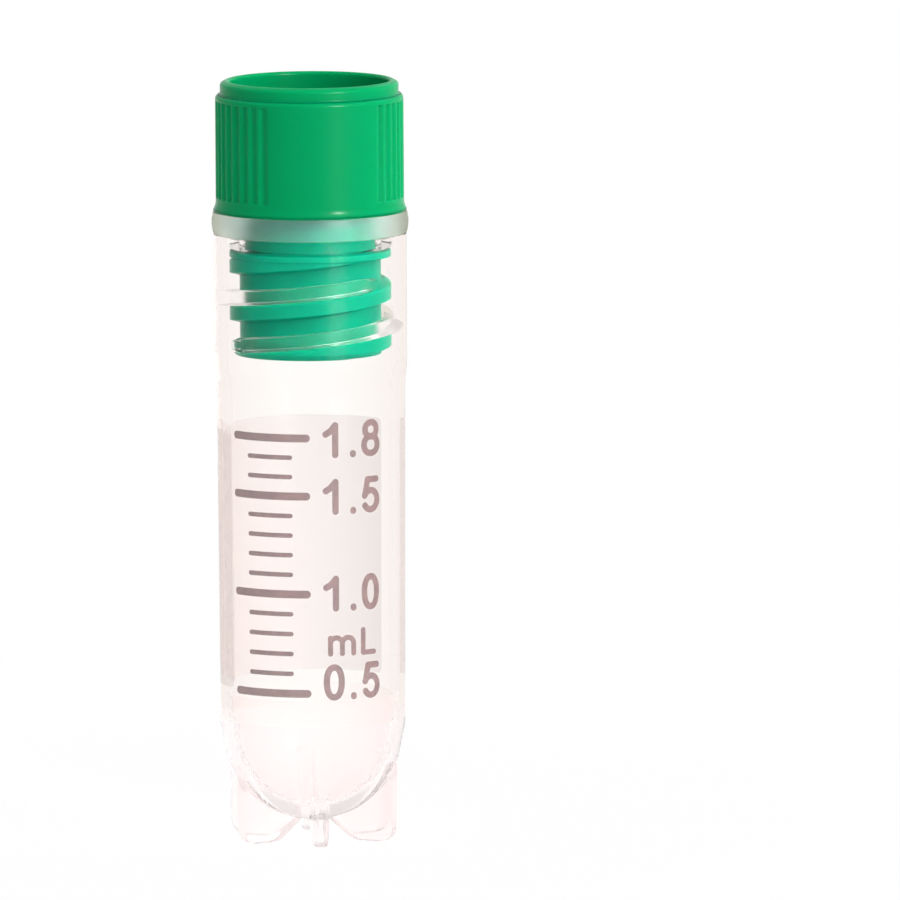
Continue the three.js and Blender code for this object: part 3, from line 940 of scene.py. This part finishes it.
def clear_material(name, ior, roughness, haze=0.0, tints=None, foot_roughness=None):
    """Clear plastic: a refracting shader, open to shadow rays, with a share of white haze.

    The tints are those of a wall seen face-on and edge-on. A foot may be rougher: the roughness
    then grows evenly down the round bottom.
    """
    material, nodes, output = new_material(name)
    shader, facing, open_air, light_path, mix = add_nodes(
        nodes, "BsdfPrincipled", "LayerWeight", "BsdfTransparent", "LightPath", "MixShader")
    set_inputs(shader, {"Transmission Weight": 1 - haze, "IOR": ior, "Base Color": (*WHITE, 1)})
    if tints is not None:
        blend_colour(nodes, shader, facing, "Facing", *tints)
    surface = moulded(nodes, shader, roughness, variation=0.01, flow_height=2e-6)
    if foot_roughness is not None:
        ramp = height_ramp(nodes, FOOT_ROUGH_BELOW, FOOT_ZONE_TOP, foot_roughness, roughness)
        wire(ramp, "Result", surface, "Roughness")
    wire(light_path, "Is Shadow Ray", mix, "Fac")
    wire(shader, 0, mix, 1)
    wire(open_air, 0, mix, 2)
    wire(mix, 0, output, "Surface")
    return material


print("milky foot: below", FOOT_ZONE_TOP, "mm")

# %% [markdown]
# ## Green polypropylene
#
# The cap is a solid green plastic with a satin skin. Plain paint would look chalky in its grooves,
# so the shader carries part of the light under the surface. The plug gets a darker, bluer green
# than the grip, as painted shade and a painted bluish reflection of the tube's wall around it, and
# the colour changes over within the seal, where it can't be seen.

# %% Cap material
# The plug is the same green plastic. Its darker, bluer green is painted shade and a painted bluish
# reflection of the tube's wall around it.
GRIP_GREEN, PLUG_GREEN_WITH_PAINTED_SHADE = (0.0, 0.325, 0.112), (0.0, 0.24, 0.142)
GREEN_BLEND = 0.3  # height over which the one green goes over into the other


def plain_material(name, inputs, roughness, flow_height):
    """A material with one shader on a moulded surface, with its nodes and the shader."""
    material, nodes, output = new_material(name)
    shader, = add_nodes(nodes, "BsdfPrincipled")
    set_inputs(shader, inputs)
    moulded(nodes, shader, roughness, variation=0.1, flow_height=flow_height)
    wire(shader, 0, output, "Surface")
    return material, nodes, shader


def cap_material():
    """Green polypropylene: opaque, satin, with light carried under its skin."""
    inputs = {
        "IOR": 1.49, "Specular IOR Level": 0.05, "Subsurface Weight": 0.7,
        "Subsurface Radius": (0.2, 1.0, 0.6), "Subsurface Scale": 0.0008}
    material, nodes, shader = plain_material("Green polypropylene", inputs, 0.25, 4e-6)
    # Below the seal the grip's green goes over into the plug's painted-shade green.
    climb = height_ramp(nodes, CAP_FOOT - GREEN_BLEND, CAP_FOOT)
    blend_colour(nodes, shader, climb, "Result", PLUG_GREEN_WITH_PAINTED_SHADE, GRIP_GREEN)
    return material


print("greens of grip and plug:", GRIP_GREEN, PLUG_GREEN_WITH_PAINTED_SHADE)

# %% [markdown]
# ## Inks
#
# Screen-printed ink is a film so thin that light shows through. The scale is brown-grey and a
# little mottled, and the writing field hardly more than a haze. Both are partly transparent, so
# that the tube's own tone still counts under them.

# %% Ink materials
MOTTLES_PER_METRE, MOTTLE_RANGE = 2200, (0.3, 0.7)
INK_DARK, INK_LIGHT = (0.18, 0.085, 0.085), (0.27, 0.13, 0.13)
INK_COVER, FIELD_COVER = 0.55, 0.11
# The field's colour is darker than its pale ink: painted shade where the ink keeps out the light
# from behind it.
FIELD_SHADE_PAINTED_COLOUR = (0.41, 0.29, 0.28)


def ink_material():
    """Thin screen-printed ink: brown-grey, mottled between a dark and a light tone."""
    material, nodes, shader = plain_material("Scale ink", {"Alpha": INK_COVER}, 0.55, 1e-6)
    place, noise, tone = add_nodes(nodes, "TexCoord", "TexNoise", "ValToRGB")
    set_inputs(noise, {"Scale": MOTTLES_PER_METRE})
    stops = zip(tone.color_ramp.elements, MOTTLE_RANGE, (INK_DARK, INK_LIGHT))
    for stop, position, colour in stops:
        stop.position, stop.color = position, (*colour, 1)
    wire(place, "Object", noise, "Vector")
    wire(noise, "Fac", tone, "Fac")
    wire(tone, "Color", shader, "Base Color")
    return material


def field_material():
    """Very thin pale ink, mostly see-through, with a fine tooth to take a pen. Its colour is a
    grey-pink well below the pale ink's own, as painted shade.
    """
    inputs = {"Base Color": (*FIELD_SHADE_PAINTED_COLOUR, 1), "Alpha": FIELD_COVER}
    return plain_material("Writing field", inputs, 0.6, 3e-6)[0]


print("the inks cover", INK_COVER, "and", FIELD_COVER)

# %% [markdown]
# ## Zones
#
# One material would make the foot as clear as the barrel. So the tube's faces are sorted by height
# and radius: barrel, thread, foot, and the inside, which stays untinted because light takes up the
# wall's colour at its outside. The seal's skirt, which hangs in the mouth, is clearer than its rim.

# %% Zones and their materials
ZONE_MARGIN = 0.02  # how far a face's middle has to be past the bore or the rim to count


def face_places(mesh):
    """Radius and height in millimetres of the middle of every face."""
    middles = np.empty(len(mesh.polygons) * 3)
    mesh.polygons.foreach_get("center", middles)
    middles = middles.reshape(-1, 3) / MM
    return np.hypot(middles[:, 0], middles[:, 1]), middles[:, 2]


def dress(piece, materials, *zones):
    """Give a piece its materials: the first by default, and the next one where each mask holds."""
    piece.data.materials.clear()
    for material in materials:
        piece.data.materials.append(material)
    index = np.zeros(len(piece.data.polygons), dtype=np.int32)
    for number, mask in enumerate(zones, start=1):
        index[mask] = number
    piece.data.polygons.foreach_set("material_index", index)
    print(piece.name, "faces in each zone:", np.bincount(index))


tube_radii, tube_heights = face_places(vial_tube.data)
on_ridge = (tube_radii < MOUTH_BORE - ZONE_MARGIN) & (tube_heights > MOUTH_FOOT)
in_foot = tube_heights < FOOT_ZONE_TOP
on_bore = (tube_radii < MOUTH_BORE + ZONE_MARGIN) & ~on_ridge & ~in_foot
dress(vial_tube, (
    clear_material("Natural polypropylene", ior=1.1, roughness=0.08,
                   tints=((1, 0.975, 0.95), (0.9, 0.79, 0.74))),
    # The thread's green-blue face-on tint is painted green light from the plug behind it, and its
    # darker edge-on tint is painted shade.
    clear_material("Frosted thread", ior=1.18, roughness=0.2, haze=0.02,
                   tints=((0.68, 0.85, 0.81), (0.72, 0.68, 0.58))),
    clear_material("Milky foot", ior=1.055, roughness=0.08, haze=0.045,
                   tints=((0.985, 0.925, 0.92), (0.965, 0.91, 0.91)), foot_roughness=0.26),
    clear_material("Inside of the tube", ior=1.1, roughness=0.08),
), on_ridge, in_foot, on_bore)

in_mouth = face_places(seal.data)[1] < RIM - ZONE_MARGIN
dress(seal, (
    # The seal's cyan face-on tint is painted green light from the neck behind it, and its dark
    # olive edge-on tint is painted shade.
    clear_material("Milky silicone", ior=1.25, roughness=0.4, haze=0.07,
                   tints=((0.72, 0.95, 0.98), (0.76, 0.74, 0.46))),
    clear_material("Clear silicone", ior=1.05, roughness=0.03),
), in_mouth)

dress(screw_cap, [cap_material()])
dress(scale_print, [ink_material()])
dress(label_field, [field_material()])

# %% [markdown]
# ## The floor
#
# A white floor lit until it clips would light the vial from below as well. So this one shows plain
# white to the camera and to every mirrored or refracted ray, and is an ordinary pale surface to
# all others. Near the vial a small share of that surface stays in view, and keeps the shadow.

# %% Floor
FLOOR_REACH = 6.0  # metres
FLOOR_PAINT = (0.85, 0.85, 0.85)
SHADOW_NEAR, SHADOW_FAR = 0.01, 0.09  # metres from the axis over which the shadow fades out


def seen_by_eye_or_glass(nodes):
    """Node whose value is 1 for camera, glossy and transmission rays, and 0 for all others."""
    light_path, first, second = add_nodes(nodes, "LightPath", "Math", "Math")
    for add in (first, second):
        add.operation, add.use_clamp = "ADD", True
    wire(light_path, "Is Camera Ray", first, 0)
    wire(light_path, "Is Glossy Ray", first, 1)
    wire(first, 0, second, 0)
    wire(light_path, "Is Transmission Ray", second, 1)
    return second


def floor_piece():
    """A flat square on the plane that the vial stands on."""
    mesh = bpy.data.meshes.new("floor")
    corners = FLOOR_REACH * np.array([(-1, -1, 0), (1, -1, 0), (1, 1, 0), (-1, 1, 0)])
    mesh.from_pydata(corners.tolist(), [], [(0, 1, 2, 3)])
    return placed("floor", mesh)


def floor_material(near_share=0.96, far_share=1.0):
    """White to the camera and in glass, with a part left for the lamps' shadow near the vial."""
    material, nodes, output = new_material("Floor")
    paint, white, place, length, fall, share, mix = add_nodes(
        nodes, "BsdfDiffuse", "Emission", "TexCoord", "VectorMath", "MapRange", "Math", "MixShader")
    set_inputs(paint, {"Color": (*FLOOR_PAINT, 1)})
    length.operation, share.operation = "LENGTH", "MULTIPLY"
    fall.interpolation_type = "SMOOTHSTEP"
    set_inputs(fall, {
        "From Min": SHADOW_NEAR, "From Max": SHADOW_FAR, "To Min": near_share, "To Max": far_share})
    wire(place, "Object", length, 0)
    wire(length, "Value", fall, "Value")
    wire(seen_by_eye_or_glass(nodes), 0, share, 0)
    wire(fall, "Result", share, 1)
    wire(share, 0, mix, "Fac")
    wire(paint, 0, mix, 1)
    wire(white, 0, mix, 2)
    wire(mix, 0, output, "Surface")
    return material


floor = floor_piece()
floor.data.materials.append(floor_material())
print("floor:", 2 * FLOOR_REACH, "metres across")

# %% [markdown]
# ## World and lamps
#
# The world is white where it is seen, and gives a weaker, even light. Three large soft lamps stand
# in front at the right, at the right side and high up, so the cap's left side falls into shade.
# They make no highlights, which would lie as a grey veil over the green. Two small lamps make
# nothing else: a low strip for the streak on the plug, and one for the cap's lip and flare.

# %% World and lamps
def white_world(ambient):
    """A world that is white where it is seen and gives the objects an even, weaker light."""
    world = bpy.data.worlds.new("World")
    bpy.context.scene.world = world
    world.use_nodes = True
    nodes = world.node_tree.nodes
    nodes.clear()
    output, mix, dim, bright = add_nodes(
        nodes, "OutputWorld", "MixShader", "Background", "Background")
    set_inputs(dim, {"Strength": ambient})
    wire(dim, 0, mix, 1)
    wire(bright, 0, mix, 2)
    wire(seen_by_eye_or_glass(nodes), 0, mix, "Fac")
    wire(mix, 0, output, "Surface")


def soft_box(name, azimuth, distance, width, height, foot, power, mirrored=False, in_glass=True):
    """An upright area lamp that faces the vial's axis, its lower edge at the given height.

    Lengths are in metres. A mirrored lamp gives highlights alone, and a lamp that isn't mirrored
    gives light alone. One that isn't seen in glass makes no highlight behind clear plastic.
    """
    lamp = bpy.data.lights.new(name, "AREA")
    lamp.shape, lamp.size, lamp.size_y, lamp.energy = "RECTANGLE", width, height, power
    holder = placed(name, lamp)
    away = Vector((np.sin(np.radians(azimuth)), -np.cos(np.radians(azimuth)), 0))
    holder.location = away * distance + Vector((0, 0, foot + height / 2))
    holder.rotation_euler = (-away).to_track_quat("-Z", "Y").to_euler()
    holder.visible_camera = False
    holder.visible_glossy, holder.visible_diffuse = mirrored, not mirrored
    holder.visible_transmission = in_glass
    print(f"{name}: {power} W at {azimuth} degrees")


white_world(0.47)
soft_box("key_box", azimuth=45, distance=0.5, width=0.4, height=0.4, foot=0.0, power=1.7)
soft_box("side_box", azimuth=100, distance=0.5, width=0.4, height=0.4, foot=0.0, power=0.74)
soft_box("high_box", azimuth=30, distance=0.3, width=0.4, height=0.3, foot=0.3, power=2.3)
soft_box("strip_box", azimuth=34.5, distance=0.19, width=0.075, height=0.018, foot=0.0,
         power=0.03, mirrored=True)
soft_box("lip_box", azimuth=36, distance=0.19, width=0.02, height=0.01, foot=0.1,
         power=0.7, mirrored=True, in_glass=False)

# %% [markdown]
# ## The camera
#
# A long lens from far away keeps the vial's sides nearly parallel. The camera looks slightly down,
# so that the hollow of the cap shows.

# %% Camera
CAMERA_DISTANCE, CAMERA_RISE, FOCAL_LENGTH = 1350, 7.0, 860
AIM = np.array([8.76, 0, 24.67])
ROLL = -0.33
CLIP_NEAR, CLIP_FAR = 0.01, 100  # metres


def studio_camera():
    """A long lens in front of the vial, raised by the rise's angle and rolled a little."""
    data = bpy.data.cameras.new("camera")
    data.lens = FOCAL_LENGTH
    data.clip_start, data.clip_end = CLIP_NEAR, CLIP_FAR
    camera = placed("camera", data)
    rise = np.radians(CAMERA_RISE)
    back = Vector((0, -np.cos(rise), np.sin(rise)))
    camera.location = Vector(AIM * MM) + back * CAMERA_DISTANCE * MM / np.cos(rise)
    turn = (-back).to_track_quat("-Z", "Y").to_matrix() @ Matrix.Rotation(np.radians(ROLL), 3, "Z")
    camera.rotation_euler = turn.to_euler()
    return camera


bpy.context.scene.camera = studio_camera()
bpy.context.scene.view_settings.view_transform = "Standard"
print("camera at", [round(value, 3) for value in bpy.context.scene.camera.location], "metres")

# %% [markdown]
# ## Finish
#
# The view layer is brought up to date.

# %% Last update
bpy.context.view_layer.update()
